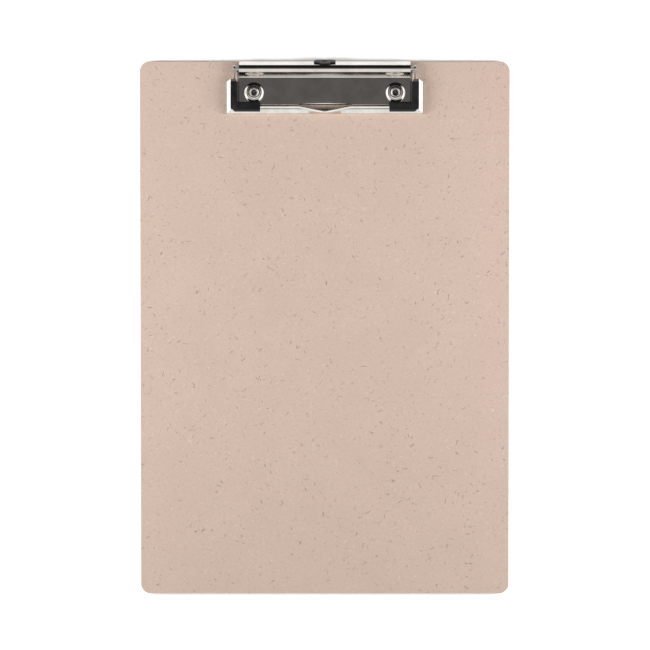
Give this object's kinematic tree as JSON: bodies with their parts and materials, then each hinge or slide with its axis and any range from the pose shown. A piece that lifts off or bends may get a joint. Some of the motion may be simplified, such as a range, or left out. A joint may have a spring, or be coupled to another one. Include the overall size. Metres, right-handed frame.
{
  "type": "clipboard",
  "caption": "A4 fibreboard clipboard with a low flat metal clip: riveted base with rolled hood, sprung jaw frame with rubber corner grips, and a pull-out hanging tab.",
  "frame": {"origin": "middle of the board's flat back face", "axes": "+X across the board to the right, +Y up the board towards the clip, +Z out of the writing face"},
  "size_m": [0.225, 0.3261, 0.0085],
  "materials": {
    "fibreboard": "smooth matt pressed wood fibre with scattered dark fibres",
    "plate_metal": "bright nickel plating",
    "rivet_metal": "bright nickel plating",
    "jaw_metal": "bright nickel plating",
    "rod_steel": "drawn steel, lightly oiled",
    "spring_steel": "drawn spring wire",
    "grip_rubber": "moulded black rubber with a soft sheen",
    "tab_plastic": "moulded black plastic"
  },
  "bodies": {
    "base": {"board": "fibreboard", "base_plate": "plate_metal", "rivet_left": "rivet_metal", "rivet_right": "rivet_metal", "washer_left": "rivet_metal", "washer_right": "rivet_metal", "spring_left": "spring_steel", "spring_right": "spring_steel"},
    "jaw": {"jaw_frame": "jaw_metal", "pivot_rod": "rod_steel", "grip_left": "grip_rubber", "grip_right": "grip_rubber"},
    "tab": {"hanging_tab": "tab_plastic"}
  },
  "joints": [
    {"name": "jaw_hinge", "type": "hinge", "parent": "base", "child": "jaw", "pos_m": [0, 0.158, 0.0055], "axis": [-1, 0, 0], "range_deg": [0, 40], "stiffness_Nm_per_rad": 0.2, "springref_deg": -57.3, "deforming": ["spring_left", "spring_right"]},
    {"name": "tab_slide", "type": "slide", "parent": "base", "child": "tab", "axis": [0, 1, 0], "range_m": [0, 0.0059]}
  ]
}
